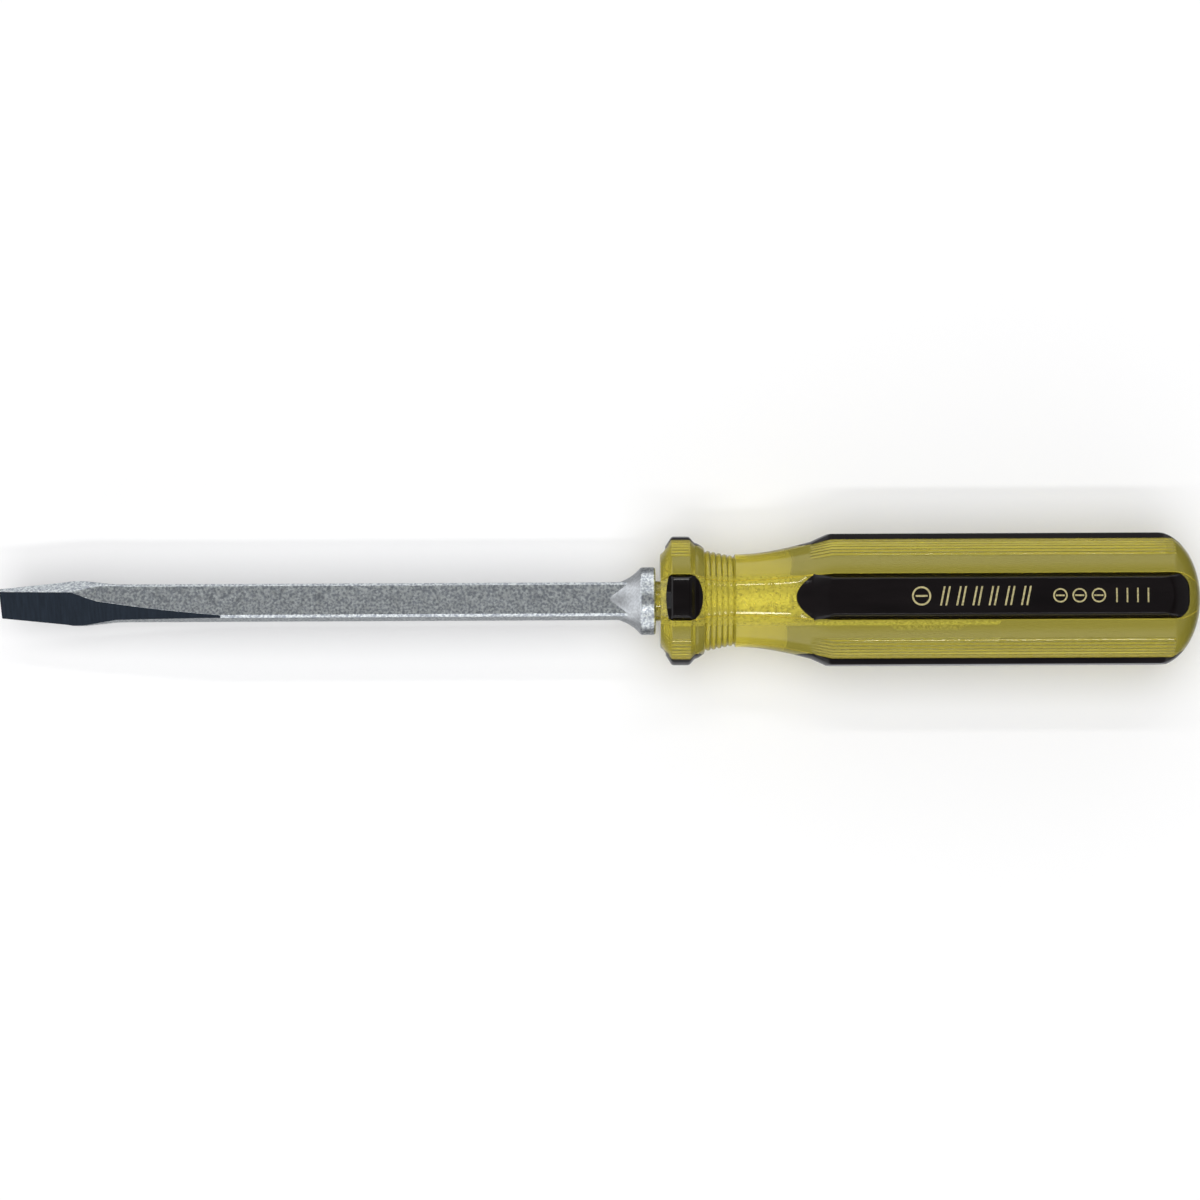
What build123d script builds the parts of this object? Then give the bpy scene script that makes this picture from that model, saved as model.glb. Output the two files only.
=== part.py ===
"""A slotted screwdriver with a square shank and a turned plastic handle, in millimetres.

+X runs along the axis from the tip to the butt, and the origin is at the middle of the tip's end face.
The handle has four raised lands, on +Z, -Z, +Y and -Y, each with a black strip laid into it.
"""

from build123d import *
import os

# Blade tip
tip_width = 7.94
tip_thickness = 1.0
tip_straight_length = 15.0  # the wedge is straight this far, then curves
tip_straight_thickness = 3.8
tip_straight_width = 9.6
tip_widest_at = 22.0
tip_widest = 10.5
tip_flare_length = 30.0  # where the tip's width is back to the bar's
taper_middle_at = 33.2
taper_middle_thickness = 7.72
taper_length = 51.4  # where the ground faces run out
flats_start_across = 9.9
front_flats_start_at = 16.9  # the front and back flats
front_flats_full_at = 22.6
side_flats_start_at = 19.4
side_flats_full_at = 27.0

# Shank and bolster
shank_across = 7.94
shank_corners_across = 10.4
blade_roll = 4.6  # degrees, from +Z towards +Y
blade_length = 152.1  # tip to the back of the collar
collar_length = 3.5
flare_length = 7.1
flare_middle = 2.8  # in front of the collar
flare_middle_radius = 5.35
flare_end_radius = 7.65
collar_radius = 7.85
collar_edge = 0.5

# Tang, inside the handle
tang_radius = 4.0
tang_length = 80.0
tang_chamfer = 1.0
wing_start = 54.0  # from the back of the collar
wing_length = 18.0
wing_span = 9.6
wing_thickness = 2.2
tang_clearance = 0.05

# Handle, along the axis
boss_radius = 4.65
boss_length = 1.1
handle_length = 126.4  # back of the collar to the end of the dome

# Handle head: distance behind the boss, and radius
head_face_radius = 10.7
head_radius = 14.96
head_front_slope = 2.9
head_flat_end = 6.7
head_slope_end = 8.0
head_slope_radius = 13.5
head_step_end = 8.7
head_step_radius = 13.3
head_end = 10.1
head_end_radius = 12.4
head_corner = 0.8

# Rings behind the head
ring_count = 5
ring_pitch = 1.28
ring_height = 0.43
ring_first_radius = 11.3
ring_drop = 0.26  # each valley is this much smaller than the one before

# Neck and grip
neck_step = 0.5
neck_radius = 10.8
neck_middle = 8.0
neck_middle_radius = 11.4
neck_late = 14.0
neck_late_radius = 12.6
neck_end = 18.0  # behind the last ring
neck_end_radius = 13.6
shoulder_length = 4.7
turned_radius = 15.75
dome_length = 10.8

# Handle section
crest_radius = 14.8
groove_radius = 0.45
groove_depth = 0.2
groove_first = 41.5  # degrees from the top or bottom land's middle
groove_step = 4.5
grooves_beside_land = 6  # between the top or bottom land and the next side land
land_rise = 0.4  # above the crests
land_half_width = 4.07
land_foot_half_width = 5.35

# Black strips
strip_bed = 2.15  # depth of a strip's flat underside below the crests
strip_skin = 0.9  # its thickness over the dome
strip_tail_gap = 3.9  # from its end to the end of the dome
strip_tail_corner = 4.0

bar_spare = 1.0  # what a blank has over at each end before it is cut to shape

# Places and heights that follow from these
land_height = crest_radius + land_rise
strip_floor = crest_radius - strip_bed
collar_back = blade_length
flare_end_at = collar_back - collar_length
head_start = collar_back + boss_length
rings_start = head_start + head_end + 0.4
neck_start = rings_start + ring_count * ring_pitch
grip_start = neck_start + neck_end + shoulder_length
handle_end = collar_back + handle_length
dome_start = handle_end - dome_length


def tip_to_collar(front, level):
    """The upper edge of a slab: the given curves, then level to the flare's end."""
    return front + Line(front @ 1, (flare_end_at, level))


def slab(upper, reach):
    """A solid with this outline above and below the axis, and this far to either side."""
    lower = mirror(upper, Plane.XZ)
    front = Line(lower @ 0, upper @ 0)
    back = Line(upper @ 1, lower @ 1)
    return extrude(Plane.XZ * make_face(upper + lower + front + back), reach, both=True)


def forged_bar():
    """The tip and the square shank: what is common to four slabs about the axis."""
    corner = shank_corners_across / 2
    thickness = tip_to_collar(
        Line((0, tip_thickness / 2), (tip_straight_length, tip_straight_thickness / 2))
        + ThreePointArc(
            (tip_straight_length, tip_straight_thickness / 2),
            (taper_middle_at, taper_middle_thickness / 2),
            (taper_length, corner),
        ),
        corner,
    )
    width = tip_to_collar(
        Line((0, tip_width / 2), (tip_straight_length, tip_straight_width / 2))
        + ThreePointArc(
            (tip_straight_length, tip_straight_width / 2),
            (tip_widest_at, tip_widest / 2),
            (tip_flare_length, corner),
        ),
        corner,
    )
    reach = max(tip_widest, shank_corners_across)
    bar = slab(thickness, reach) & Rot(X=90) * slab(width, reach)
    for turn, start_at, full_at in (
        (-45, front_flats_start_at, front_flats_full_at),
        (45, side_flats_start_at, side_flats_full_at),
    ):
        flats = tip_to_collar(
            Polyline(
                (0, flats_start_across / 2),
                (start_at, flats_start_across / 2),
                (full_at, shank_across / 2),
            ),
            shank_across / 2,
        )
        bar &= Rot(X=turn) * slab(flats, reach)
    return bar


def turned(outline):
    """A solid of revolution about X from the closed outline of its upper half."""
    return revolve(Plane.XZ * make_face(outline), Axis.X, 360)


def closed_to_axis(edge):
    """Closes a turned edge down to the axis at both ends."""
    first, last = edge @ 0, edge @ 1
    return edge + Polyline((first.X, first.Y), (first.X, 0), (last.X, 0), (last.X, last.Y))


def bolster():
    """The trumpet flare and the collar behind it."""
    edge = ThreePointArc(
        (flare_end_at - flare_length, shank_across / 2),
        (flare_end_at - flare_middle, flare_middle_radius),
        (flare_end_at, flare_end_radius),
    )
    edge += Polyline(
        (flare_end_at, flare_end_radius),
        (flare_end_at + collar_edge, collar_radius),
        (collar_back - collar_edge, collar_radius),
        (collar_back, collar_radius - collar_edge),
    )
    return turned(closed_to_axis(edge))


def tang(clearance):
    """The round tang and its two wings, or with a clearance the hole that they fill."""
    radius = tang_radius + clearance
    end = collar_back + tang_length + clearance
    edge = Polyline(
        (flare_end_at, radius),
        (end - tang_chamfer, radius),
        (end, radius - tang_chamfer),
    )
    wings = Pos(collar_back + wing_start + wing_length / 2, 0, 0) * Box(
        wing_length + 2 * clearance,
        wing_span + 2 * clearance,
        wing_thickness + 2 * clearance,
    )
    return turned(closed_to_axis(edge)) + wings


def blade():
    return Rot(X=45 - blade_roll) * (forged_bar() + bolster() + tang(0))


def handle_edge():
    """The turned edge of the handle, from its front face to the end of the dome."""

    def at_head(distance, radius):
        return (head_start + distance, radius)

    def at_neck(distance, radius):
        return (neck_start + distance, radius)

    edge = Polyline(
        (collar_back, boss_radius),
        at_head(0, boss_radius),
        at_head(0, head_face_radius),
        at_head(head_front_slope - head_corner / 2, head_radius - head_corner),
        at_head(head_front_slope + head_corner / 2, head_radius),
        at_head(head_flat_end, head_radius),
        at_head(head_slope_end, head_slope_radius),
        at_head(head_step_end, head_step_radius),
        at_head(head_end, head_end_radius),
        (rings_start, ring_first_radius),
    )
    for ring in range(ring_count):
        start = (rings_start + ring * ring_pitch, ring_first_radius - ring * ring_drop)
        end = (start[0] + ring_pitch, start[1] - ring_drop)
        top = (start[0] + ring_pitch / 2, (start[1] + end[1]) / 2 + ring_height)
        edge += ThreePointArc(start, top, end)
    edge += Line(end, at_neck(neck_step, neck_radius))
    edge += Spline(
        at_neck(neck_step, neck_radius),
        at_neck(neck_middle, neck_middle_radius),
        at_neck(neck_late, neck_late_radius),
        at_neck(neck_end, neck_end_radius),
    )
    edge += Polyline(
        at_neck(neck_end, neck_end_radius),
        (grip_start, turned_radius),
        (dome_start, turned_radius),
    )
    return edge


def turned_handle():
    """The whole turned shape, before the bar's section limits it."""
    dome = Pos(dome_start, 0, 0) * scale(
        Sphere(turned_radius), by=(dome_length / turned_radius, 1, 1)
    )
    return turned(closed_to_axis(handle_edge())) + dome


def land_section():
    """One raised land above +Y of the section, reaching down to the axis."""
    half = Polyline(
        (0, land_height),
        (land_half_width, land_height),
        (land_foot_half_width, strip_floor),
        (land_foot_half_width, 0),
        (0, 0),
        close=True,
    )
    right = make_face(half)
    return right + mirror(right, Plane.YZ)


def bar_section():
    """The clear bar's section: a circle, grooved beside the side lands, with a channel for each strip."""
    section = Circle(crest_radius)
    groove_centre = crest_radius - groove_depth + groove_radius
    channel = Pos(0, crest_radius) * Rectangle(2 * land_foot_half_width, 2 * strip_bed)
    for upright in (90, -90):
        for side in (1, -1):
            for groove in range(grooves_beside_land):
                turn = upright + side * (groove_first + groove * groove_step)
                section -= Rot(Z=turn) * Pos(groove_centre, 0) * Circle(groove_radius)
    for land in range(4):
        section -= Rot(Z=90 * land) * channel
    return section


def along_handle(section):
    """A bar of this section, a little longer than the handle at both ends."""
    start = collar_back - bar_spare
    return extrude(Plane.YZ.offset(start) * section, handle_length + 2 * bar_spare)


def strip_side():
    """The strips' side outline: flat underneath, then a thin skin over the dome."""
    top = turned_radius + bar_spare
    under_dome = Pos(dome_start, 0) * Ellipse(dome_length - strip_skin, strip_floor)
    side = Pos((collar_back + dome_start) / 2, (strip_floor + top) / 2) * Rectangle(
        dome_start - collar_back, top - strip_floor
    )
    over_dome = Pos(dome_start + dome_length / 2, top / 2) * Rectangle(dome_length, top)
    return side + (over_dome - under_dome)


def strip_plan():
    """The strips' outline from above, with rounded corners at the tail."""
    tail_end = handle_end - strip_tail_gap
    plan = Pos((collar_back + tail_end) / 2, 0) * Rectangle(
        tail_end - collar_back, 2 * land_foot_half_width
    )
    tail_corners = plan.vertices().sort_by(Axis.X)[-2:]
    return fillet(tail_corners, strip_tail_corner)


def strip_blank():
    """The space that the top land's strip fills before it is turned."""
    side = extrude(Plane.XZ * strip_side(), land_foot_half_width, both=True)
    plan = extrude(strip_plan(), turned_radius + bar_spare)
    return along_handle(land_section()) & side & plan


turned_bar = turned_handle()
blank = strip_blank()
body = turned_bar & along_handle(bar_section())
body -= Rot(X=45 - blade_roll) * tang(tang_clearance)
pieces = {"blade": blade()}
for name, turn in (("top", 0), ("left", -90), ("bottom", 180), ("right", 90)):
    body -= Rot(X=turn) * blank
    for island in (turned_bar & blank).solids():
        place = "head_patch" if island.center().X < neck_start else "grip_stripe"
        pieces[f"{place}_{name}"] = Rot(X=turn) * island
pieces["handle_body"] = body

os.makedirs("parts", exist_ok=True)
for name, piece in pieces.items():
    export_step(piece, f"parts/{name}.step")
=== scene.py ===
"""A slotted screwdriver with a clear amber handle, laid out as an add-on and run as a script.

All sizes are in metres. +X runs from the tip to the butt along the axis, and +Z points out of the top land.
"""

import math

import bmesh
import bpy
import numpy as np
from bpy.props import FloatProperty, FloatVectorProperty, IntProperty, PointerProperty
from bpy.types import Operator, Panel, PropertyGroup
from mathutils import Matrix, Vector


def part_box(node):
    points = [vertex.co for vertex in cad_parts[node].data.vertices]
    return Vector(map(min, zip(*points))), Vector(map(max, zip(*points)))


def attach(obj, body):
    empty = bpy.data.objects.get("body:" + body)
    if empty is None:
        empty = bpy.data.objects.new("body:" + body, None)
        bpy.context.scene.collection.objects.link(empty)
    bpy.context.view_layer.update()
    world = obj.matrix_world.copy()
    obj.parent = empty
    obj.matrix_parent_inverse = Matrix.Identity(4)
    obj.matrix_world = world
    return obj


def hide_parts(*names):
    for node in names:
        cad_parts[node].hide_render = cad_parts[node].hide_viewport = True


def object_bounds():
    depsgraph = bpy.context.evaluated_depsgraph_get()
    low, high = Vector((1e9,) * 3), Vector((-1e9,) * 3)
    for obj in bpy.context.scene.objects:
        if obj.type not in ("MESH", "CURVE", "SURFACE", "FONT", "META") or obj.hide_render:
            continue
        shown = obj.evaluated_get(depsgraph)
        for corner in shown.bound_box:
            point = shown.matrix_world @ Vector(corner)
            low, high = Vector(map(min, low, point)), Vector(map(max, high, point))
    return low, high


bl_info = {
    "name": "Amber screwdriver",
    "version": (1, 0, 0),
    "blender": (4, 5, 0),
    "location": "View3D > Sidebar > Screwdriver",
    "description": "Builds a slotted screwdriver with a clear amber handle around its CAD frame",
    "category": "Object",
}

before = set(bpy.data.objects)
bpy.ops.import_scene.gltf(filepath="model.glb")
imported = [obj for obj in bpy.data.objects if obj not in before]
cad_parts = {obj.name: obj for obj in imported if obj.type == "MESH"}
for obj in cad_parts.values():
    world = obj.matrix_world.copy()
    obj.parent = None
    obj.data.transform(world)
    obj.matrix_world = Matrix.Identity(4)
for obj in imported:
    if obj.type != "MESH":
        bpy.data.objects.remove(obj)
CAD_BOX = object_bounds()
MM = 0.001
BODY = "root"
SIDES = {"top": 0, "left": -90, "bottom": 180, "right": 90}  # turn about X, in degrees
COLLAR_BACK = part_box("handle_body")[0][0]
HANDLE_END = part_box("handle_body")[1][0]
BLADE_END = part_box("blade")[1][0]

# The head's corners: distance behind its face, and drop from its greatest radius, in millimetres
HEAD_CORNERS = ((2.7, 0.0), (6.7, 0.0), (8.0, 1.46), (8.7, 1.66))
HEAD_FOOT_AT, HEAD_FOOT_RISE = 10.1 * MM, 1.1 * MM  # its last corner, and the rise above the first valley
NECK_STOPS, NECK_RISES = (0.5, 8.0, 14.0), (0.0, 0.6, 1.8)  # behind the last ring, in millimetres
POLE_RADIUS = 0.02 * MM  # how far a dome closes before its last fan
NARROWEST = 0.03 * MM  # half width where a strip comes to a point
TIP_ROUND, TIP_EASING = 0.12 * MM, 0.08 * MM  # the edges of the tip's end face
LAND_EDGE_SHARES = (0.96, 0.98, 0.99, 1, 1.01, 1.02, 1.04)  # extra columns around a land's edge

# Places of the blade's materials on its list
PLATE, GROUND, BONDED, FLARE = range(4)
PLATE_GRAIN = 1700  # grains to the metre
PLATE_GRAIN_SPREAD = (0.38, 0.62)  # part of the grain's range between the two colours
PLASTIC_IOR = 1.47
BRIGHTEST = 0.98  # limit of a brightened colour

AIM = (0.14, 0, 0)  # the tool's middle, which the lamps face


# Properties


def size(name, description, millimetres):
    return FloatProperty(
        name=name, description=description, default=millimetres * MM, unit="LENGTH", precision=5
    )


def colour(name, description, value):
    return FloatVectorProperty(
        name=name, description=description, default=value, subtype="COLOR", min=0.0, max=1.0
    )


class HandleSizes(PropertyGroup):
    """The turned handle's sizes. Distances run from the head's front face."""

    boss_radius: size("Boss radius", "Clear boss between the collar and the head", 4.65)
    boss_length: size("Boss length", "Gap between the collar and the head", 1.1)
    face_radius: size("Face radius", "Flat front face of the head", 10.7)
    head_radius: size("Head radius", "Widest part of the head", 14.96)
    head_length: size("Head length", "Front face to the start of the rings", 10.5)
    head_corner: size("Head corner", "Rounding of the head's front corner", 0.9)
    ring_pitch: size("Ring pitch", "Distance from ring to ring", 1.28)
    ring_height: size("Ring height", "Height of a ring above its valleys", 0.43)
    ring_first_radius: size("First valley", "Radius in front of the first ring", 11.3)
    ring_drop: size("Ring drop", "How much each valley is smaller than the last", 0.26)
    rings: IntProperty(name="Rings", description="Rings behind the head", default=5, min=1)
    neck_radius: size("Neck radius", "Radius just behind the rings", 10.8)
    neck_length: size("Neck length", "Rings to the start of the shoulder", 18.0)
    neck_end_radius: size("Neck end", "Radius where the shoulder starts", 13.6)
    shoulder_length: size("Shoulder length", "Steep cone in front of the grip", 4.7)
    grip_radius: size("Grip radius", "Radius of the turned grip at the lands' corners", 15.75)
    dome_length: size("Dome length", "Length of the domed butt", 10.8)
    crest_radius: size("Crest radius", "Radius over the grip's ribs", 14.8)
    groove_depth: size("Groove depth", "Depth between the ribs", 0.2)
    groove_first: FloatProperty(
        name="First groove", description="Degrees from the top or bottom land's middle", default=41.5
    )
    groove_step: FloatProperty(name="Groove step", description="Degrees from groove to groove", default=4.5)
    grooves: IntProperty(name="Grooves", description="Grooves beside each side land", default=6, min=1)


class StripSizes(PropertyGroup):
    """The black strips' sizes, as heights above the axis and distances from the land's middle."""

    land_height: size("Land height", "Flat top of a land", 15.19)
    land_half_width: size("Land half width", "Half the land's flat top", 4.07)
    foot_half_width: size("Foot half width", "Half the strip's width at its floor", 5.35)
    floor_height: size("Floor height", "Flat underside of a strip", 12.65)
    edge_round: size("Edge rounding", "Softening of the land's edges", 0.07)
    skin: size("Skin", "Strip thickness over the dome", 0.9)
    tail_gap: size("Tail gap", "End of the strip to the end of the dome", 3.9)
    tail_corner: size("Tail corner", "Rounded corners of the strip's tail", 4.0)
    bedding: size("Bedding", "How far the strips sink into the clear plastic", 0.05)


class BladeSizes(PropertyGroup):
    """The forged blade's sizes. Distances run from the tip."""

    tip_width: size("Tip width", "Width of the tip's end", 7.94)
    tip_thickness: size("Tip thickness", "Thickness of the tip's end", 1.0)
    wedge_length: size("Wedge length", "Straight part of the tip", 15.0)
    wedge_thickness: size("Wedge thickness", "Thickness behind the straight part", 3.8)
    wedge_width: size("Wedge width", "Width behind the straight part", 9.6)
    widest_at: size("Widest at", "Place of the tip's greatest width", 22.0)
    widest: size("Widest", "The tip's greatest width", 10.5)
    flare_length: size("Tip flare", "Where the tip is back to the bar's width", 30.0)
    taper_middle_at: size("Taper middle", "A place half way along the ground taper", 33.2)
    taper_middle: size("Taper thickness", "Thickness half way along the taper", 7.72)
    taper_length: size("Taper length", "Where the ground faces run out", 51.4)
    flats_start: size("Flats start across", "Across flats where they start", 9.9)
    front_flats_at: size("Front flats start", "Where the front and back flats start", 16.9)
    front_flats_full_at: size("Front flats full", "Where they reach the bar's size", 22.6)
    side_flats_at: size("Side flats start", "Where the flats at the sides start", 19.4)
    side_flats_full_at: size("Side flats full", "Where they reach the bar's size", 27.0)
    across: size("Across flats", "Square shank across its flats", 7.94)
    corners: size("Across corners", "Square shank across its chamfered corners", 10.4)
    edge_round: size("Edge rounding", "Rounding of the bar's edges", 0.15)
    trumpet_at: size("Trumpet start", "Where the trumpet flare starts", 141.5)
    trumpet_middle_at: size("Trumpet middle", "A place half way along the flare", 145.8)
    trumpet_middle: size("Trumpet middle radius", "Radius half way along the flare", 5.35)
    trumpet_end_at: size("Trumpet end", "Where the flare meets the collar", 148.6)
    trumpet_end: size("Trumpet end radius", "Radius where the flare meets the collar", 7.65)
    collar_radius: size("Collar radius", "Radius of the round collar", 7.85)
    collar_edge: size("Collar edge", "Rounding of the collar's edges", 0.55)
    tang_radius: size("Tang radius", "Round tang inside the handle", 4.0)
    bonded_length: size("Bonded length", "Collar to the end of the tang's grainy skin", 38.0)
    wing_start: size("Wing start", "Collar to the tang's wings", 54.0)
    wing_length: size("Wing length", "Length of the wings", 18.0)
    wing_span: size("Wing span", "Span of the wings", 9.6)
    wing_thickness: size("Wing thickness", "Thickness of the wings", 2.2)
    roll: FloatProperty(
        name="Roll",
        description="Turn of the flats from the lands",
        default=math.radians(4.6),
        subtype="ANGLE",
    )


class Finishes(PropertyGroup):
    """Colours of the plastics, the metal and the foil."""

    amber: colour("Amber", "What the clear plastic lets through", (0.83, 0.85, 0.18))
    amber_depth: FloatProperty(
        name="Amber depth", description="How strongly the plastic tints, per metre", default=30.0, min=0.0
    )
    amber_surface: colour("Amber haze", "What the plastic's haze sends back", (0.92, 0.795, 0.12))
    clearness: FloatProperty(
        name="Clearness", description="Share of light that passes unscattered", default=0.72, min=0, max=1
    )
    black: colour("Black", "Strips in the handle", (0.0035, 0.0026, 0.0028))
    plate: colour("Plate", "Plated steel", (0.69, 0.75, 0.83))
    flare_plate: colour("Flare plate", "The matt plate of the trumpet flare", (0.66, 0.69, 0.715))
    ground: colour("Ground steel", "Dark ground faces of the tip", (0.013, 0.019, 0.028))
    bonded: colour("Bonded steel", "The tang, seen through the plastic", (0.78, 0.76, 0.70))
    foil: colour("Foil", "Stamped marks", (0.80, 0.71, 0.36))


class StageSettings(PropertyGroup):
    """Camera, lights and floor."""

    camera_distance: size("Camera distance", "Camera to the tool's axis", 950.0)
    camera_elevation: FloatProperty(
        name="Elevation", description="Camera above the horizon", default=math.radians(86.6), subtype="ANGLE"
    )
    camera_roll: FloatProperty(
        name="Camera roll", description="Turn of the picture", default=math.radians(0.257), subtype="ANGLE"
    )
    margin: size("Margin", "Room beside the tool at each end", 0.19)
    floor_colour: colour("Floor", "The pale floor", (0.93, 0.93, 0.93))
    sky_strength: FloatProperty(name="Sky", description="Soft light from all round", default=1.0, min=0.0)
    box_power: FloatProperty(name="Softbox", description="Power overhead, in watts", default=20.0, min=0.0)
    near_power: FloatProperty(name="Near strip", description="Power on the near side", default=2.6, min=0.0)
    far_power: FloatProperty(name="Far strip", description="Power on the far side", default=1.5, min=0.0)


# Curves and meshes


def arc(first, middle, last, count):
    """Points of the circular arc through three points, both ends included."""
    (ax, ay), (bx, by), (cx, cy) = first, middle, last
    d = 2 * (ax * (by - cy) + bx * (cy - ay) + cx * (ay - by))
    a2, b2, c2 = ax * ax + ay * ay, bx * bx + by * by, cx * cx + cy * cy
    ox = (a2 * (by - cy) + b2 * (cy - ay) + c2 * (ay - by)) / d
    oy = (a2 * (cx - bx) + b2 * (ax - cx) + c2 * (bx - ax)) / d
    radius = math.hypot(ax - ox, ay - oy)
    start = math.atan2(ay - oy, ax - ox)
    sweep = math.atan2(cy - oy, cx - ox) - start
    sweep = (sweep + math.pi) % (2 * math.pi) - math.pi
    turns = [start + sweep * i / (count - 1) for i in range(count)]
    return [(ox + radius * math.cos(t), oy + radius * math.sin(t)) for t in turns]


def rounded(points, radius, steps=5):
    """A polyline with its inner corners rounded, as much as its runs allow."""
    made = [points[0]]
    for before, corner, after in zip(points, points[1:], points[2:]):
        a, b, c = Vector(before), Vector(corner), Vector(after)
        turn = (b - a).angle(c - b)
        reach = min(radius * math.tan(turn / 2), (b - a).length / 2, (c - b).length / 2)
        start = b + (a - b).normalized() * reach
        end = b + (c - b).normalized() * reach
        for i in range(steps + 1):
            t = i / steps
            made.append(tuple(start * (1 - t) ** 2 + b * 2 * t * (1 - t) + end * t * t))
    made.append(points[-1])
    return made


def through(points, x):
    """The second number at this x, on straight lines through (x, number) points."""
    return float(np.interp(x, [p[0] for p in points], [p[1] for p in points]))


def soft_min(a, b, width):
    """The smaller of two numbers, with the change from one to the other rounded over this width."""
    share = max(width - abs(a - b), 0.0) / width
    return min(a, b) - share * share * width / 4


def mesh_object(name, vertices, faces):
    """A new mesh piece, with doubled points merged and its faces turned outwards."""
    mesh = bpy.data.meshes.new(name)
    mesh.from_pydata([tuple(v) for v in vertices], [], faces)
    built = bmesh.new()
    built.from_mesh(mesh)
    bmesh.ops.remove_doubles(built, verts=built.verts, dist=1e-7)
    bmesh.ops.dissolve_degenerate(built, edges=built.edges, dist=1e-8)
    bmesh.ops.recalc_face_normals(built, faces=built.faces)
    built.to_mesh(mesh)
    built.free()
    piece = bpy.data.objects.new(name, mesh)
    bpy.context.scene.collection.objects.link(piece)
    return piece


def lofted(name, loops):
    """A closed mesh through loops of as many points each, with a fan over each end."""
    count = len(loops[0])
    vertices = [point for loop in loops for point in loop]
    faces = []
    for row in range(len(loops) - 1):
        for i in range(count):
            j = (i + 1) % count
            a, b = row * count, (row + 1) * count
            faces.append((a + i, a + j, b + j, b + i))
    for row in (0, len(loops) - 1):
        middle = len(vertices)
        vertices.append(np.mean([np.array(p) for p in loops[row]], axis=0))
        for i in range(count):
            faces.append((middle, row * count + i, row * count + (i + 1) % count))
    return mesh_object(name, vertices, faces)


def turned_loops(edge, count):
    """Loops of a shape turned about X, from (x, radius) points."""
    turns = [2 * math.pi * i / count for i in range(count)]
    return [[(x, r * math.sin(t), r * math.cos(t)) for t in turns] for x, r in edge]


def settle(piece):
    """Replaces the mesh with what its modifiers make of it, and removes them."""
    graph = bpy.context.evaluated_depsgraph_get()
    made = bpy.data.meshes.new_from_object(piece.evaluated_get(graph))
    piece.modifiers.clear()
    piece.data = made
    return piece


def shade(piece, sharp_angle):
    """Smooth shading with flat faces kept flat, and edges over this angle in degrees kept sharp."""
    piece.data.shade_smooth()
    piece.data.set_sharp_from_angle(angle=math.radians(sharp_angle))
    weighted = piece.modifiers.new("Flat faces", "WEIGHTED_NORMAL")
    weighted.keep_sharp = True
    return settle(piece)


def joined(piece, others):
    """The union of a piece and others, which are removed."""
    for other in others:
        union = piece.modifiers.new("Union", "BOOLEAN")
        union.operation = "UNION"
        union.solver = "EXACT"
        union.object = other
        bpy.context.view_layer.update()
        settle(piece)
        bpy.data.objects.remove(other)
    return piece


def finish_piece(piece, slot, *nodes):
    """Rides a piece on the tool's body and hides the CAD nodes that it stands for. The slot is not used."""
    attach(piece, BODY)
    if nodes:
        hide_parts(*nodes)


# The handle's shape


def handle_edge():
    """(x, radius) along the turned handle, from the boss to the end of the dome."""
    h = bpy.context.scene.screwdriver_handle
    head = COLLAR_BACK + h.boss_length
    rings = head + h.head_length
    neck = rings + h.rings * h.ring_pitch
    shoulder = neck + h.neck_length
    grip = shoulder + h.shoulder_length
    dome = HANDLE_END - h.dome_length
    front = [
        (head, h.boss_radius),
        (head, h.face_radius),
        *((head + behind * MM, h.head_radius - drop * MM) for behind, drop in HEAD_CORNERS),
        (head + HEAD_FOOT_AT, h.ring_first_radius + HEAD_FOOT_RISE),
        (rings, h.ring_first_radius),
    ]
    edge = [(COLLAR_BACK, h.boss_radius)] + rounded(front, h.head_corner)
    for ring in range(h.rings):
        x, r = rings + ring * h.ring_pitch, h.ring_first_radius - ring * h.ring_drop
        top = (x + h.ring_pitch / 2, r - h.ring_drop / 2 + h.ring_height)
        edge += arc((x, r), top, (x + h.ring_pitch, r - h.ring_drop), 9)[1:]
    edge += neck_edge(neck, h)
    edge += [(grip, h.grip_radius)]
    edge += [(grip + (dome - grip) * i / 12, h.grip_radius) for i in range(1, 13)]
    for i in range(1, 33):
        turn = math.pi / 2 * i / 32
        radius = max(h.grip_radius * math.cos(turn), POLE_RADIUS)
        edge.append((dome + h.dome_length * math.sin(turn), radius))
    return edge


def neck_edge(start, h):
    """The smooth waist between the last ring and the shoulder."""
    stops = (*NECK_STOPS, h.neck_length / MM)
    radii = (*(h.neck_radius + rise * MM for rise in NECK_RISES), h.neck_end_radius)
    fit = np.polyfit(stops, radii, 3)
    places = np.linspace(stops[0], stops[-1], 31)
    return [(start + s * MM, float(np.polyval(fit, s))) for s in places]


def rib_radius(turn, h):
    """Radius of the clear section, this many degrees from the top or bottom land's middle."""
    steps = (turn - h.groove_first) / h.groove_step
    if not -0.5 < steps < h.grooves - 0.5:
        return h.crest_radius
    return h.crest_radius - h.groove_depth * math.cos(math.pi * steps) ** 2


def clear_section():
    """The clear bar's outline as (y, z) points: grooves, and a flat-bottomed channel under each land."""
    h, s = bpy.context.scene.screwdriver_handle, bpy.context.scene.screwdriver_strips
    foot, floor = s.foot_half_width, s.floor_height
    wall = math.degrees(math.asin(foot / h.crest_radius))
    turns = np.linspace(wall, 90 - wall, 97)
    outline = []
    for land in range(4):
        base = math.radians(90 * land)

        def place(side, up):
            outline.append(
                (side * math.cos(base) + up * math.sin(base), up * math.cos(base) - side * math.sin(base))
            )

        for share in np.linspace(-1, 1, 9):
            place(foot * share, floor)
        for turn in turns:
            from_upright = turn if land % 2 == 0 else 90 - turn
            r, t = rib_radius(from_upright, h), math.radians(turn)
            place(r * math.sin(t), r * math.cos(t))
    return outline


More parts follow.
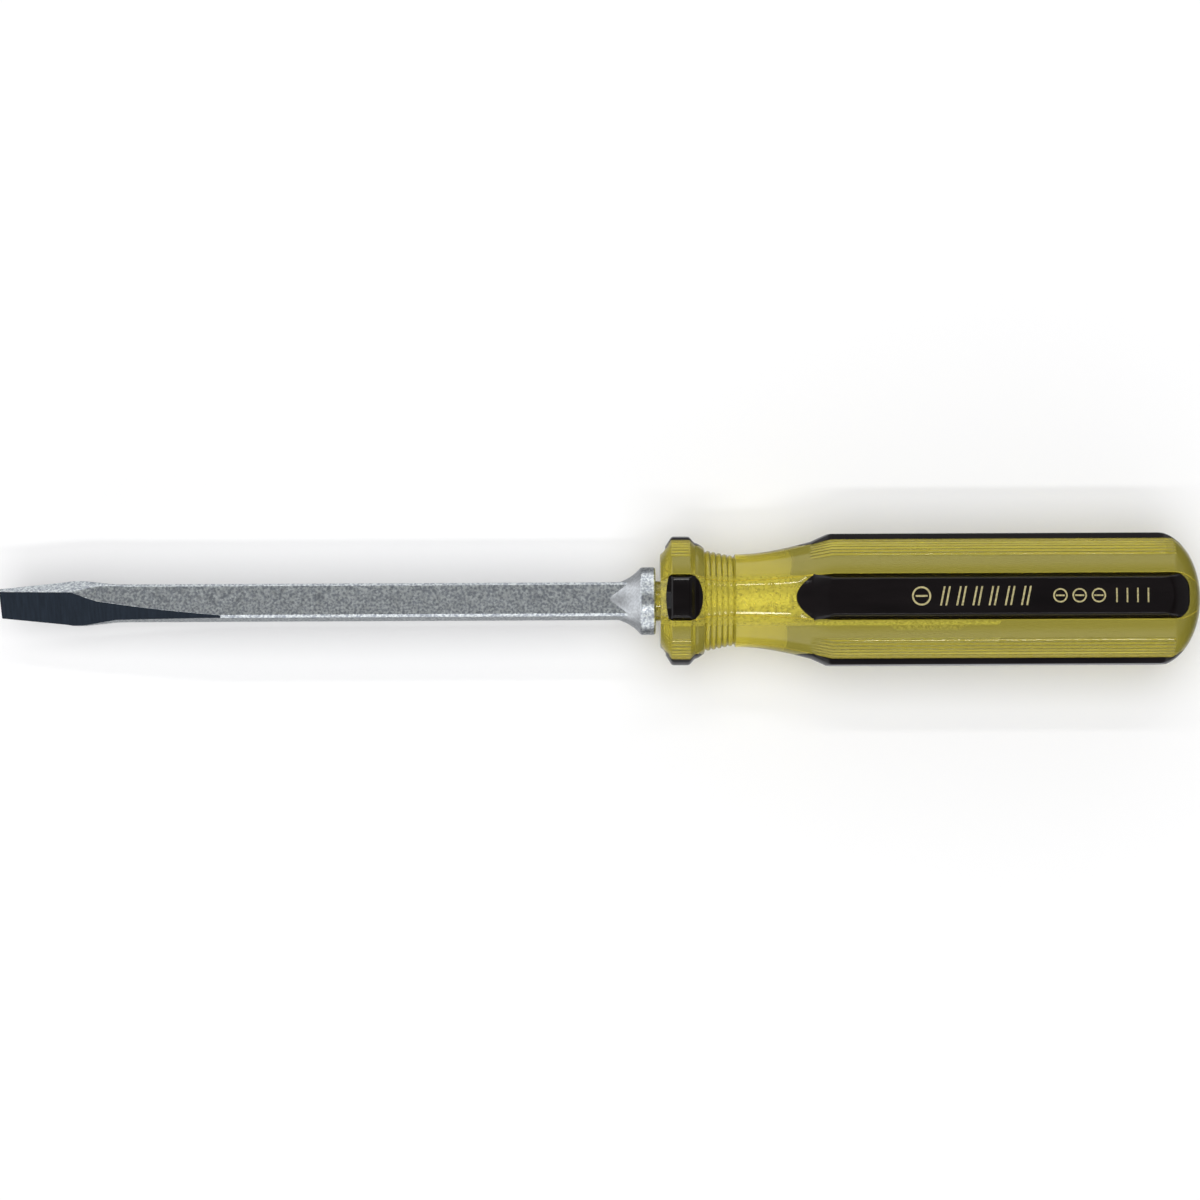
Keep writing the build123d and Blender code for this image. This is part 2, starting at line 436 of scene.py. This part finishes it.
def under_tail(x, y, z):
    """Whether a point of the dome lies well inside the outline of one of the strips' tails."""
    s = bpy.context.scene.screwdriver_strips
    side, up = sorted((abs(y), abs(z)))
    inset = 0.35 * MM
    return up > s.floor_height / 3 and side < strip_half_width(x + inset) - inset


def clear_loops(edge):
    """Every turned radius limits the bar's outline in turn. Under the tails the dome is cut lower."""
    s = bpy.context.scene.screwdriver_strips
    dome = HANDLE_END - bpy.context.scene.screwdriver_handle.dome_length
    outline = clear_section()
    loops = []
    for x, radius in edge:
        loop = []
        for y, z in outline:
            reach = math.hypot(y, z)
            limit = min(radius / reach, 1.0)
            if x > dome and under_tail(x, y * limit, z * limit):
                limit = min(limit, (radius - 0.4 * s.skin) / reach)
            loop.append((x, y * limit, z * limit))
        loops.append(loop)
    return loops


# The black strips' shape


def strip_half_width(x):
    """Half width of the strips' outline near the butt, with rounded corners at the tail."""
    s = bpy.context.scene.screwdriver_strips
    end = HANDLE_END - s.tail_gap
    beyond = x - (end - s.tail_corner)
    if beyond <= 0:
        return s.foot_half_width
    if x >= end:
        return 0.0
    drop = math.sqrt(max(s.tail_corner**2 - beyond**2, 0.0))
    return s.foot_half_width - s.tail_corner + drop


def land_height_at(side, s):
    """Height of a land's top and sloping walls at this distance from its middle."""
    slope = (s.land_height - s.floor_height) / (s.foot_half_width - s.land_half_width)
    wall = s.floor_height + slope * (s.foot_half_width - side)
    return soft_min(s.land_height, wall, 4 * s.edge_round)


def strip_loop(x, radius, half_width, columns):
    """One cross-section of the top land's strip, as a loop over its top and back underneath."""
    s = bpy.context.scene.screwdriver_strips
    top, bottom = [], []
    for share in columns:
        y = half_width * share
        z = min(land_height_at(abs(y), s), math.sqrt(max(radius**2 - y**2, 0.0)))
        dome_under = math.sqrt(max((radius - s.skin) ** 2 - y**2, 0.0))
        floor = min(s.floor_height, dome_under) - s.bedding
        top.append((x, y, z))
        bottom.append((x, y, min(floor, z - s.bedding)))
    return top + bottom[::-1]


def width_above_floor(radius, s):
    """Half width at which a turned surface of this radius passes down through the strips' floor."""
    return min(math.sqrt(max(radius**2 - s.floor_height**2, 0.0)), s.foot_half_width)


def island_places(edge, first, last, s):
    """x of the cross-sections between two places, closer together where an outline narrows to its end."""
    xs = np.linspace(first, last, 4001)
    inside = [x for x in xs if through(edge, x) > s.floor_height]
    start, end = inside[0], inside[-1]
    middle = (start + end) / 2
    reach = min(3 * MM, (end - start) / 2)
    near = [start + reach * (i / 24) ** 2.2 for i in range(25)]
    far = [end - reach * (i / 24) ** 2.2 for i in range(25)]
    between = np.arange(start + reach, end - reach, 0.25 * MM)
    return sorted({round(float(x), 7) for x in (*near, *between, middle, *far)})


def make_strips(name, first, last, tail):
    """Four strips between two places, one on each land. A tail runs on over the dome to its rounded end."""
    scene = bpy.context.scene
    s, edge = scene.screwdriver_strips, handle_edge()
    corner = s.land_half_width / s.foot_half_width
    edges = [side * share * corner for side in (-1, 1) for share in LAND_EDGE_SHARES]
    columns = sorted({*np.linspace(-1, 1, 21).round(5), *edges})
    dome = HANDLE_END - scene.screwdriver_handle.dome_length
    if tail:
        places = island_places(edge, first, dome, s)
        grown = [x for x in places if x < places[0] + 11 * MM]
        straight = np.linspace(grown[-1] + 2 * MM, dome, 20)
        end = HANDLE_END - s.tail_gap
        turns = np.linspace(0, 1, 49)[1:]
        xs = [*grown, *straight, *(dome + (end - dome) * np.sin(turns * math.pi / 2))]
    else:
        xs = island_places(edge, first, last, s)
    loops = []
    for x in xs:
        radius = through(edge, x)
        half = width_above_floor(radius, s) if x < dome else strip_half_width(x - 1e-7)
        loops.append(strip_loop(x, radius, max(half, NARROWEST), columns))
    for side, turn in SIDES.items():
        strip = lofted(f"{name}_{side}_black", loops)
        strip.data.transform(Matrix.Rotation(math.radians(turn), 4, "X"))
        shade(strip, 50)
        strip.data.materials.append(gloss_black())
        finish_piece(strip, "black_plastic", f"{name}_{side}")


# The blade's shape


def bar_outlines(b):
    """Half thickness, half width and half distance across each pair of flats, as points along the bar."""
    bar_end = b.trumpet_end_at
    corner = b.corners / 2
    wedge = (b.wedge_length, b.wedge_thickness / 2)
    thickness = [(0, b.tip_thickness / 2)]
    thickness += arc(wedge, (b.taper_middle_at, b.taper_middle / 2), (b.taper_length, corner), 49)
    wide = (b.wedge_length, b.wedge_width / 2)
    width = [(0, b.tip_width / 2)]
    width += arc(wide, (b.widest_at, b.widest / 2), (b.flare_length, corner), 33)
    outlines = [thickness + [(bar_end, corner)], width + [(bar_end, corner)]]
    for start_at, full_at in (
        (b.front_flats_at, b.front_flats_full_at),
        (b.side_flats_at, b.side_flats_full_at),
    ):
        flats = [(0, b.flats_start / 2), (start_at, b.flats_start / 2), (full_at, b.across / 2)]
        outlines.append(flats + [(bar_end, b.across / 2)])
    return outlines


def bar_loop(x, thickness, width, front_flats, side_flats, edge_round):
    """An octagon with rounded corners, as (x, y, z): thickness along Z, width along Y, flats between."""
    d, w = thickness - edge_round, width - edge_round
    corners = []
    for sz, sy, order in ((1, 1, 1), (-1, 1, -1), (-1, -1, 1), (1, -1, -1)):
        flats = front_flats if sz == sy else side_flats
        k = (flats - edge_round) * math.sqrt(2)
        first, second = (d, min(w, k - d)), (min(d, k - w), w)
        corners += [(sz * z, sy * y) for z, y in (first, second)[::order]]
    loop = []
    for i, (z, y) in enumerate(corners):
        for step in range(5):
            turn = math.radians(45 * (i + step / 4))
            loop.append((x, y + edge_round * math.sin(turn), z + edge_round * math.cos(turn)))
    return loop


def bar_places(b):
    """x of the bar's cross-sections, closer together where its section changes."""
    tip = [0.0, 0.15 * MM, *np.linspace(1 * MM, b.wedge_length, 15)]
    blend = [*np.arange(b.wedge_length, b.flare_length, 0.25 * MM), b.front_flats_at, b.side_flats_at]
    taper = np.arange(b.flare_length, b.taper_length, 0.8 * MM)
    shank = np.linspace(b.taper_length, b.trumpet_end_at, 24)
    return sorted({round(float(x), 7) for x in (*tip, *blend, *taper, *shank)})


def make_bar(b):
    """The tip and the square shank, with the tip's end edges eased."""
    outlines = bar_outlines(b)
    loops = []
    for x in bar_places(b):
        thickness, width, front_flats, side_flats = (through(points, x) for points in outlines)
        rounding = min(b.edge_round, 0.25 * thickness) if x > 0 else TIP_ROUND
        easing = TIP_EASING if x == 0 else 0.0
        half_sizes = (thickness - easing, width - easing, front_flats, side_flats)
        loops.append(bar_loop(x, *half_sizes, rounding))
    return lofted("forged_blade", loops)


def bolster_edge(b):
    """(x, radius) of the trumpet flare and the collar."""
    flare = arc(
        (b.trumpet_at, b.across / 2),
        (b.trumpet_middle_at, b.trumpet_middle),
        (b.trumpet_end_at, b.trumpet_end),
        25,
    )
    collar = [
        (b.trumpet_end_at, b.trumpet_end),
        (b.trumpet_end_at + 0.35 * MM, b.collar_radius),
        (COLLAR_BACK, b.collar_radius),
        (COLLAR_BACK, b.tang_radius),
    ]
    return flare + rounded(collar, b.collar_edge, 6)[1:]


def tang_edge(b):
    """(x, radius) of the round tang, from the collar's back to its chamfered end."""
    skin_end, tang_end = COLLAR_BACK + b.bonded_length, 0.2 * MM
    skin = [(float(x), b.tang_radius) for x in np.linspace(COLLAR_BACK, skin_end, 12)]
    end = [(skin_end, b.tang_radius), (BLADE_END, b.tang_radius), (BLADE_END, tang_end)]
    return skin + rounded(end, 1.0 * MM, 4)[1:]


def make_wings(b):
    """The tang's two flat wings, as one slab with rounded ends."""
    start = COLLAR_BACK + b.wing_start
    loops = []
    for share, scale in ((0, 0.72), (0.06, 0.94), (0.12, 1.0), (0.88, 1.0), (0.94, 0.94), (1, 0.72)):
        half_span, half_thick = b.wing_span / 2 * scale, b.wing_thickness / 2
        corners = [(half_span, half_thick), (-half_span, half_thick)]
        corners += [(-half_span, -half_thick), (half_span, -half_thick)]
        loops.append([(start + b.wing_length * share, y, z) for y, z in corners])
    return lofted("tang_wings", loops)


# Materials


def material(name):
    """A new material, its shader and its node tree, or one made before and two empty values."""
    found = bpy.data.materials.get(name)
    if found:
        return found, None, None
    made = bpy.data.materials.new(name)
    made.use_nodes = True
    tree = made.node_tree
    return made, tree.nodes["Principled BSDF"], tree


def node(tree, kind, values=(), **settings):
    """A node with these settings and these values on its named inputs."""
    added = tree.nodes.new(kind)
    for name, value in settings.items():
        setattr(added, name, value)
    for name, value in dict(values).items():
        added.inputs[name].default_value = value
    return added


def noise(tree, scale, detail=3.0, stretch=(1, 1, 1)):
    """Noise by place on the piece, this many to the metre, stretched along the axes."""
    place = node(tree, "ShaderNodeTexCoord")
    mapping = node(tree, "ShaderNodeMapping", {"Scale": stretch})
    pattern = node(tree, "ShaderNodeTexNoise", {"Scale": scale, "Detail": detail})
    tree.links.new(place.outputs["Object"], mapping.inputs["Vector"])
    tree.links.new(mapping.outputs["Vector"], pattern.inputs["Vector"])
    return pattern.outputs["Fac"]


def ranged(tree, value, low, high, from_low=0.3, from_high=0.7):
    """A pattern's value mapped to a range."""
    mapped = node(
        tree,
        "ShaderNodeMapRange",
        {"From Min": from_low, "From Max": from_high, "To Min": low, "To Max": high},
    )
    tree.links.new(value, mapped.inputs["Value"])
    return mapped.outputs["Result"]


def blended(tree, share, first, second):
    """A colour between two, by a share from 0 to 1."""
    mix = node(tree, "ShaderNodeMix", data_type="RGBA")
    mix.inputs["A"].default_value = (*first, 1)
    mix.inputs["B"].default_value = (*second, 1)
    tree.links.new(share, mix.inputs["Factor"])
    return next(o for o in mix.outputs if o.type == "RGBA")


def bumped(tree, shader, height, distance):
    """Raises a pattern by this distance."""
    bump = node(tree, "ShaderNodeBump", {"Distance": distance})
    tree.links.new(height, bump.inputs["Height"])
    tree.links.new(bump.outputs["Normal"], shader.inputs["Normal"])


def times(colour, factor):
    """A colour made darker or brighter."""
    return tuple(min(factor * c, BRIGHTEST) for c in colour)


def speckled(tree, shader, grain, darker, brighter, low=0.3, high=0.7):
    """Colours a surface between two colours by its grain."""
    share = ranged(tree, grain, 0, 1, low, high)
    tree.links.new(blended(tree, share, darker, brighter), shader.inputs["Base Color"])


def roughened(tree, shader, pattern, low, high):
    """Varies the roughness by a pattern."""
    tree.links.new(ranged(tree, pattern, low, high), shader.inputs["Roughness"])


def gloss_black():
    """Polished black plastic with faint handling marks."""
    made, shader, tree = material("gloss_black_plastic")
    if tree is None:
        return made
    f = bpy.context.scene.screwdriver_finishes
    smears = ranged(tree, noise(tree, 260, 5, (0.25, 1, 1)), 0.0, 1.0)
    tree.links.new(ranged(tree, smears, 0.06, 0.15, 0, 1), shader.inputs["Roughness"])
    tree.links.new(blended(tree, smears, f.black, times(f.black, 1.9)), shader.inputs["Base Color"])
    shader.inputs["IOR"].default_value = PLASTIC_IOR
    shader.inputs["Specular IOR Level"].default_value = 0.34
    bumped(tree, shader, noise(tree, 900, 2, (0.12, 1, 1)), 0.004 * MM)
    return made


def clear_amber():
    """Clear amber plastic, tinted by its depth, with faint flow lines along the bar."""
    made, shader, tree = material("clear_amber_plastic")
    if tree is None:
        return made
    f = bpy.context.scene.screwdriver_finishes
    shader.inputs["Base Color"].default_value = (*f.amber_surface, 1)
    shader.inputs["Transmission Weight"].default_value = f.clearness
    shader.inputs["IOR"].default_value = PLASTIC_IOR
    roughened(tree, shader, noise(tree, 400, 4, (0.3, 1, 1)), 0.015, 0.05)
    bumped(tree, shader, noise(tree, 420, 3, (0.06, 1, 1)), 0.015 * MM)
    depth = node(tree, "ShaderNodeVolumeAbsorption", {"Density": f.amber_depth})
    depth.inputs["Color"].default_value = (*f.amber, 1)
    tree.links.new(depth.outputs["Volume"], tree.nodes["Material Output"].inputs["Volume"])
    return made


def plated_steel():
    """Satin plate with a fine grain."""
    made, shader, tree = material("satin_plated_steel")
    if tree is None:
        return made
    f = bpy.context.scene.screwdriver_finishes
    grain = noise(tree, PLATE_GRAIN, 3)
    speckled(tree, shader, grain, times(f.plate, 0.64), times(f.plate, 1.34), *PLATE_GRAIN_SPREAD)
    shader.inputs["Metallic"].default_value = 1.0
    roughened(tree, shader, noise(tree, 900, 3), 0.32, 0.46)
    bumped(tree, shader, grain, 0.03 * MM)
    return made


def flare_steel():
    """The flare's plate, smoother and more matt than the shank's."""
    made, shader, tree = material("matt_plated_flare")
    if tree is None:
        return made
    f = bpy.context.scene.screwdriver_finishes
    grain = noise(tree, PLATE_GRAIN, 3)
    speckled(tree, shader, grain, times(f.flare_plate, 0.78), f.flare_plate, *PLATE_GRAIN_SPREAD)
    shader.inputs["Metallic"].default_value = 0.75
    roughened(tree, shader, noise(tree, 900, 3), 0.36, 0.48)
    bumped(tree, shader, grain, 0.02 * MM)
    return made


def bonded_steel():
    """The tang's grainy skin, where the plastic has bonded to it."""
    made, shader, tree = material("bonded_steel")
    if tree is None:
        return made
    f = bpy.context.scene.screwdriver_finishes
    grain = noise(tree, 1500, 2, (0.7, 1, 1))
    speckled(tree, shader, grain, times(f.bonded, 0.45), f.bonded, 0.35, 0.6)
    shader.inputs["Metallic"].default_value = 0.8
    roughened(tree, shader, grain, 0.2, 0.5)
    bumped(tree, shader, grain, 0.16 * MM)
    return made


def ground_steel():
    """Dark ground faces, with grinding lines across the tip."""
    made, shader, tree = material("dark_ground_steel")
    if tree is None:
        return made
    f = bpy.context.scene.screwdriver_finishes
    lines = noise(tree, 700, 5, (3.0, 0.25, 0.25))
    speckled(tree, shader, lines, f.ground, times(f.ground, 1.5))
    shader.inputs["Metallic"].default_value = 0.85
    roughened(tree, shader, noise(tree, 1500, 2), 0.30, 0.45)
    bumped(tree, shader, lines, 0.02 * MM)
    return made


def gold_foil():
    """Hot-stamped foil, slightly worn."""
    made, shader, tree = material("stamped_foil")
    if tree is None:
        return made
    f = bpy.context.scene.screwdriver_finishes
    speckled(tree, shader, noise(tree, 3000, 3), times(f.foil, 0.55), f.foil, 0.35, 0.6)
    shader.inputs["Metallic"].default_value = 0.6
    shader.inputs["Roughness"].default_value = 0.38
    return made


def pale_floor():
    """Matt white paper."""
    made, shader, tree = material("pale_floor")
    if tree is None:
        return made
    shader.inputs["Base Color"].default_value = (*bpy.context.scene.screwdriver_stage.floor_colour, 1)
    shader.inputs["Roughness"].default_value = 0.9
    shader.inputs["Specular IOR Level"].default_value = 0.1
    return made


# Operators


class SCREWDRIVER_OT_handle(Operator):
    """Make the clear handle: head, rings, neck, ribbed grip and dome"""

    bl_idname = "screwdriver.make_handle"
    bl_label = "Clear handle"

    def execute(self, context):
        handle = lofted("clear_handle", clear_loops(handle_edge()))
        shade(handle, 32)
        handle.data.materials.append(clear_amber())
        finish_piece(handle, "amber_plastic", "handle_body")
        return {"FINISHED"}


class SCREWDRIVER_OT_grip_stripes(Operator):
    """Make the four black strips along the grip, from their pointed noses to their rounded tails"""

    bl_idname = "screwdriver.make_grip_stripes"
    bl_label = "Grip stripes"

    def execute(self, context):
        h = context.scene.screwdriver_handle
        neck = COLLAR_BACK + h.boss_length + h.head_length + h.rings * h.ring_pitch
        make_strips("grip_stripe", neck, HANDLE_END, tail=True)
        return {"FINISHED"}


class SCREWDRIVER_OT_head_patches(Operator):
    """Make the four black patches on the head"""

    bl_idname = "screwdriver.make_head_patches"
    bl_label = "Head patches"

    def execute(self, context):
        h = context.scene.screwdriver_handle
        head = COLLAR_BACK + h.boss_length
        make_strips("head_patch", head + 0.1 * MM, head + h.head_length, tail=False)
        return {"FINISHED"}


class SCREWDRIVER_OT_blade(Operator):
    """Forge the blade: ground tip, square shank, trumpet flare, collar and tang"""

    bl_idname = "screwdriver.make_blade"
    bl_label = "Blade"

    def execute(self, context):
        b = context.scene.screwdriver_blade
        blade = make_bar(b)
        bolster = lofted("bolster", turned_loops(bolster_edge(b), 160))
        tang = lofted("tang", turned_loops(tang_edge(b), 64))
        joined(blade, [bolster, tang, make_wings(b)])
        blade.data.materials.clear()
        for steel in (plated_steel, ground_steel, bonded_steel, flare_steel):
            blade.data.materials.append(steel())
        for face in blade.data.polygons:
            ground = face.center.x < b.taper_length and abs(face.normal.z) > 0.97
            end = face.center.x < 0.1 * MM
            inside = COLLAR_BACK + 0.1 * MM < face.center.x < COLLAR_BACK + b.bonded_length
            flare = b.trumpet_at < face.center.x < b.trumpet_end_at and face.normal.x < -0.1
            if inside:
                face.material_index = BONDED
            elif flare:
                face.material_index = FLARE
            else:
                face.material_index = GROUND if ground or end else PLATE
        shade(blade, 30)
        blade.data.transform(Matrix.Rotation(math.radians(45) - b.roll, 4, "X"))
        finish_piece(blade, "blade_steel", "blade")
        return {"FINISHED"}


class SCREWDRIVER_OT_marks(Operator):
    """Stamp plain foil marks on the top stripe: a slotted screw head and rows of bars"""

    bl_idname = "screwdriver.make_marks"
    bl_label = "Stamped marks"

    def execute(self, context):
        make_marks()
        return {"FINISHED"}


def bar_mark(x, y, length, height, slant=0.0):
    """The corners of a slim bar on the stripe, from below."""
    return [(x, y), (x + length, y), (x + length + slant, y + height), (x + slant, y + height)]


def ring_mark(x, radius, width, steps=40):
    """The quads of a ring with a slot across it."""
    quads = []
    for i in range(steps):
        a, b = (2 * math.pi * (i + j) / steps for j in (0, 1))
        inner, outer = radius - width, radius
        quads.append(
            [
                (x + inner * math.cos(a), inner * math.sin(a)),
                (x + outer * math.cos(a), outer * math.sin(a)),
                (x + outer * math.cos(b), outer * math.sin(b)),
                (x + inner * math.cos(b), inner * math.sin(b)),
            ]
        )
    return quads + [bar_mark(x - radius * 0.62, -width / 2, radius * 1.24, width)]


def make_marks():
    """Two groups of plain shapes, laid on the top stripe as thin foil."""
    s = bpy.context.scene.screwdriver_strips
    line, start, tall, slant = 0.42 * MM, 210.6 * MM, 4.4 * MM, 0.9 * MM
    pair_at, pair_gap, pair_step = 6.4 * MM, 1.2 * MM, 3.7 * MM
    quads = ring_mark(start + tall / 2, tall / 2, line)
    for i in range(6):
        for x in (start + pair_at + pair_step * i, start + pair_at + pair_gap + pair_step * i):
            quads.append(bar_mark(x, -tall / 2, line, tall, slant))
    line, start, tall = 0.85 * line, 242.9 * MM, 3.3 * MM
    ring_step, tick_at, tick_step = 4.4 * MM, 14.4 * MM, 2.4 * MM
    for i in range(3):
        quads += ring_mark(start + tall / 2 + ring_step * i, tall / 2, line)
    for i in range(4):
        quads.append(bar_mark(start + tick_at + tick_step * i, -tall / 2, line, tall))
    proud, sunk = 0.009 * MM, 0.05 * MM
    top, under = s.land_height + proud, s.land_height - sunk
    vertices, faces = [], []
    for quad in quads:
        first = len(vertices)
        vertices += [(x, y, z) for z in (under, top) for x, y in quad]
        faces.append([first + i for i in (3, 2, 1, 0)])
        faces.append([first + i for i in (4, 5, 6, 7)])
        for i in range(4):
            j = (i + 1) % 4
            faces.append([first + i, first + j, first + 4 + j, first + 4 + i])
    marks = mesh_object("stamped_marks", vertices, faces)
    marks.data.materials.append(gold_foil())
    finish_piece(marks, "black_plastic")


class SCREWDRIVER_OT_stage(Operator):
    """Lay the pale floor and set the soft lights and the camera"""

    bl_idname = "screwdriver.make_stage"
    bl_label = "Floor, lights and camera"

    def execute(self, context):
        make_floor()
        make_sky()
        make_lamps()
        make_camera()
        context.scene.view_settings.view_transform = "Standard"
        return {"FINISHED"}


def make_floor():
    """A wide plane at the height of the lands that the tool lies on."""
    reach, level = 3.0, CAD_BOX[0][2]
    corners = [(-reach, -reach, level), (reach, -reach, level), (reach, reach, level), (-reach, reach, level)]
    mesh = bpy.data.meshes.new("floor")
    mesh.from_pydata(corners, [], [(0, 1, 2, 3)])
    floor = bpy.data.objects.new("floor", mesh)
    bpy.context.scene.collection.objects.link(floor)
    mesh.materials.append(pale_floor())
    floor.visible_glossy = False


def make_sky():
    """Light from all round: bright at the horizon, dim overhead, straight below and behind the butt."""
    world = bpy.data.worlds.new("studio")
    bpy.context.scene.world = world
    world.use_nodes = True
    tree = world.node_tree
    background = tree.nodes["Background"]
    strength = bpy.context.scene.screwdriver_stage.sky_strength
    place = node(tree, "ShaderNodeTexCoord")
    split = node(tree, "ShaderNodeSeparateXYZ")
    ramp = node(tree, "ShaderNodeValToRGB")
    stops = (
        (-1.0, 0.45),
        (-0.85, 0.45),
        (-0.75, 0.08),
        (-0.31, 0.08),
        (-0.22, 1.10),
        (0.38, 1.10),
        (0.60, 0.20),
        (1.0, 0.15),
    )
    while len(ramp.color_ramp.elements) < len(stops):
        ramp.color_ramp.elements.new(0.5)
    for element, (up, light) in zip(ramp.color_ramp.elements, stops):
        element.position = (up + 1) / 2
        element.color = (light, light, 1.02 * light, 1)
    tree.links.new(place.outputs["Generated"], split.inputs["Vector"])
    tree.links.new(ranged(tree, split.outputs["Z"], 0, 1, -1, 1), ramp.inputs["Fac"])
    tree.links.new(ramp.outputs["Color"], background.inputs["Color"])
    behind_butt = ranged(tree, split.outputs["X"], strength, 0.2 * strength, 0.35, 0.7)
    tree.links.new(behind_butt, background.inputs["Strength"])


def make_lamp(name, place, size_x, size_y, power):
    """A soft rectangular lamp that faces the tool's middle."""
    data = bpy.data.lights.new(name, "AREA")
    data.shape, data.size, data.size_y = "RECTANGLE", size_x, size_y
    data.energy = power
    lamp = bpy.data.objects.new(name, data)
    lamp.location = place
    lamp.rotation_euler = (Vector(AIM) - lamp.location).to_track_quat("-Z", "Y").to_euler()
    bpy.context.scene.collection.objects.link(lamp)
    return lamp


def make_lamps():
    """A large softbox overhead that casts no glints, and a slim strip light above each long side."""
    s = bpy.context.scene.screwdriver_stage
    softbox = make_lamp("softbox", (AIM[0], 0, 1.6), 1.6, 1.6, s.box_power)
    softbox.visible_glossy = False
    make_lamp("near_strip", (AIM[0], -0.66, 1.05), 0.9, 0.06, s.near_power)
    make_lamp("far_strip", (AIM[0], 0.70, 0.95), 0.9, 0.04, s.far_power)


def make_camera():
    """A long lens almost straight above, with the tool across the whole picture."""
    s = bpy.context.scene.screwdriver_stage
    low, high = CAD_BOX
    half = (high[0] - low[0]) / 2 + s.margin
    data = bpy.data.cameras.new("camera")
    data.sensor_width = 36.0
    data.lens = data.sensor_width / 2 * s.camera_distance / half
    camera = bpy.data.objects.new("camera", data)
    e = s.camera_elevation
    right, back = Vector((1, 0, 0)), Vector((0, -math.cos(e), math.sin(e)))
    up = back.cross(right)
    turn = Matrix((right, up, back)).transposed().to_4x4()
    turn = Matrix.Rotation(-s.camera_roll, 4, back) @ turn
    target = Vector(((low[0] + high[0]) / 2, 0.3 * MM, 0))
    camera.matrix_world = Matrix.Translation(target + back * s.camera_distance) @ turn
    bpy.context.scene.collection.objects.link(camera)
    bpy.context.scene.camera = camera


class SCREWDRIVER_PT_panel(Panel):
    """Lists the screwdriver's pieces"""

    bl_idname = "SCREWDRIVER_PT_panel"
    bl_label = "Screwdriver"
    bl_space_type = "VIEW_3D"
    bl_region_type = "UI"
    bl_category = "Screwdriver"

    def draw(self, context):
        for operator in OPERATORS:
            self.layout.operator(operator.bl_idname)


OPERATORS = (
    SCREWDRIVER_OT_handle,
    SCREWDRIVER_OT_grip_stripes,
    SCREWDRIVER_OT_head_patches,
    SCREWDRIVER_OT_blade,
    SCREWDRIVER_OT_marks,
    SCREWDRIVER_OT_stage,
)
GROUPS = {
    "screwdriver_handle": HandleSizes,
    "screwdriver_strips": StripSizes,
    "screwdriver_blade": BladeSizes,
    "screwdriver_finishes": Finishes,
    "screwdriver_stage": StageSettings,
}


def register():
    for kind in (*GROUPS.values(), *OPERATORS, SCREWDRIVER_PT_panel):
        bpy.utils.register_class(kind)
    for name, kind in GROUPS.items():
        setattr(bpy.types.Scene, name, PointerProperty(type=kind))


def unregister():
    for name in GROUPS:
        delattr(bpy.types.Scene, name)
    for kind in (SCREWDRIVER_PT_panel, *reversed(OPERATORS), *GROUPS.values()):
        bpy.utils.unregister_class(kind)


def main():
    register()
    for operator in OPERATORS:
        group, name = operator.bl_idname.split(".")
        getattr(getattr(bpy.ops, group), name)()


if __name__ == "__main__":
    main()
